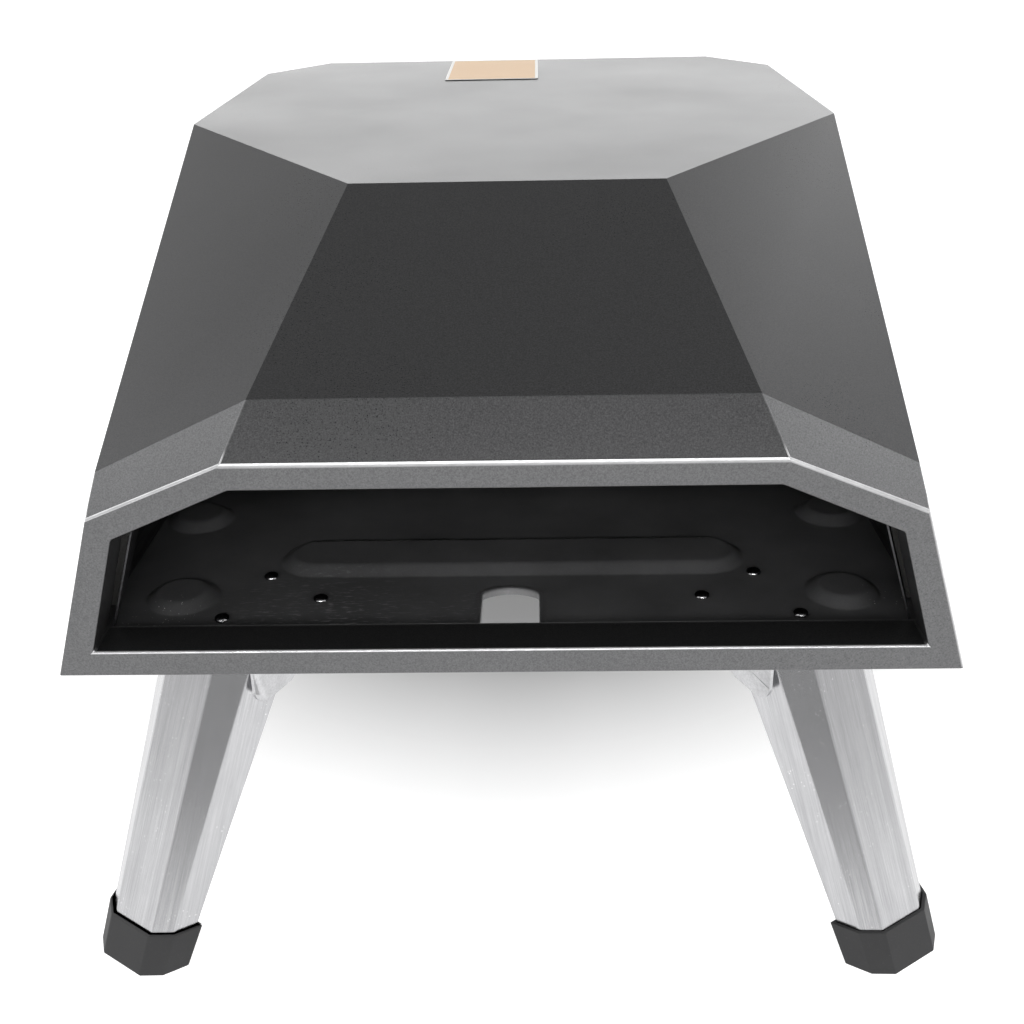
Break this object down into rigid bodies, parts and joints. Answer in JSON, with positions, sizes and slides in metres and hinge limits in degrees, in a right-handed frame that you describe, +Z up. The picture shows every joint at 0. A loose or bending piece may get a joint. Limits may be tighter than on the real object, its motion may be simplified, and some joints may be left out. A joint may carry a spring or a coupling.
{
  "type": "portable outdoor pizza oven",
  "caption": "Low faceted sheet-steel pizza oven with an open front mouth, a pressed floor with a finger hole, a rear gas burner with knob and igniter, and folding splayed legs.",
  "frame": {"origin": "on the ground below the middle of the object's box", "axes": "+Z up, the mouth faces -Y, +X to the right of someone who faces the mouth"},
  "size_m": [0.4256, 0.689, 0.3527],
  "materials": {
    "powder_coat": "fine-grained satin powder coat, dark grey",
    "pan_coat": "black high-temperature coat, semi-gloss",
    "liner_steel": "heat-darkened stainless sheet",
    "brushed_steel": "stainless sheet, brushed",
    "leg_steel": "stainless sheet, brushed along the leg",
    "bright_steel": "bright plated steel",
    "brass": "machined brass",
    "foot_rubber": "moulded matt black rubber",
    "black_plastic": "moulded heat-resistant plastic",
    "ceramic_fibre": "white ceramic fibre blanket",
    "glazed_ceramic": "white glazed ceramic with a steel pin",
    "label_film": "printed film, blank"
  },
  "bodies": {
    "oven_body": {"burner_housing": "powder_coat", "burner_saddle_left": "brushed_steel", "burner_saddle_right": "brushed_steel", "burner_tube": "brushed_steel", "flame_guard": "liner_steel", "floor_pan": "pan_coat", "front_frame": "powder_coat", "gas_inlet": "brass", "gas_jet": "brass", "gas_valve": "brass", "hood_shell": "powder_coat", "igniter_body": "black_plastic", "igniter_collar": "bright_steel", "igniter_electrode": "glazed_ceramic", "inlet_nut": "brass", "inner_liner": "liner_steel", "insulation_blanket": "ceramic_fibre", "knob_bezel": "bright_steel", "leg_bracket_front_left": "brushed_steel", "leg_bracket_front_right": "brushed_steel", "leg_bracket_rear_left": "brushed_steel", "leg_bracket_rear_right": "brushed_steel", "leg_pin_front_left": "bright_steel", "leg_pin_front_right": "bright_steel", "leg_pin_rear_left": "bright_steel", "leg_pin_rear_right": "bright_steel", "pan_rivet_front_left_1": "bright_steel", "pan_rivet_front_left_2": "bright_steel", "pan_rivet_front_left_3": "bright_steel", "pan_rivet_front_right_1": "bright_steel", "pan_rivet_front_right_2": "bright_steel", "pan_rivet_front_right_3": "bright_steel", "pan_rivet_rear_left_1": "bright_steel", "pan_rivet_rear_left_2": "bright_steel", "pan_rivet_rear_left_3": "bright_steel", "pan_rivet_rear_right_1": "bright_steel", "pan_rivet_rear_right_2": "bright_steel", "pan_rivet_rear_right_3": "bright_steel", "rating_label": "label_film", "rear_panel": "powder_coat", "rear_screw_left_lower": "bright_steel", "rear_screw_left_upper": "bright_steel", "rear_screw_right_lower": "bright_steel", "rear_screw_right_upper": "bright_steel"},
    "folding_leg_front_left": {"leg_front_left": "leg_steel", "foot_front_left": "foot_rubber"},
    "folding_leg_front_right": {"leg_front_right": "leg_steel", "foot_front_right": "foot_rubber"},
    "folding_leg_rear_left": {"leg_rear_left": "leg_steel", "foot_rear_left": "foot_rubber"},
    "folding_leg_rear_right": {"leg_rear_right": "leg_steel", "foot_rear_right": "foot_rubber"},
    "knob_and_stem": {"control_knob": "black_plastic", "valve_stem": "bright_steel"},
    "igniter_push": {"igniter_button": "black_plastic"}
  },
  "joints": [
    {"name": "leg_fold_front_left", "type": "hinge", "parent": "oven_body", "child": "folding_leg_front_left", "pos_m": [-0.142, -0.257, 0.144], "axis": [0.8192, -0.5736, 0], "range_deg": [0, 115]},
    {"name": "leg_fold_front_right", "type": "hinge", "parent": "oven_body", "child": "folding_leg_front_right", "pos_m": [0.142, -0.257, 0.144], "axis": [0.8192, 0.5736, 0], "range_deg": [0, 115]},
    {"name": "leg_fold_rear_left", "type": "hinge", "parent": "oven_body", "child": "folding_leg_rear_left", "pos_m": [-0.142, 0.1904, 0.144], "axis": [-0.8192, -0.5736, 0], "range_deg": [0, 115]},
    {"name": "leg_fold_rear_right", "type": "hinge", "parent": "oven_body", "child": "folding_leg_rear_right", "pos_m": [0.142, 0.1904, 0.144], "axis": [-0.8192, 0.5736, 0], "range_deg": [0, 115]},
    {"name": "knob_turn", "type": "hinge", "parent": "oven_body", "child": "knob_and_stem", "pos_m": [0, 0.3257, 0.214], "axis": [0, 1, 0], "range_deg": [0, 180]},
    {"name": "igniter_press", "type": "slide", "parent": "oven_body", "child": "igniter_push", "axis": [0, -1, 0], "range_m": [0, 0.005], "stiffness_N_per_m": 500, "springref_m": -0.004}
  ]
}
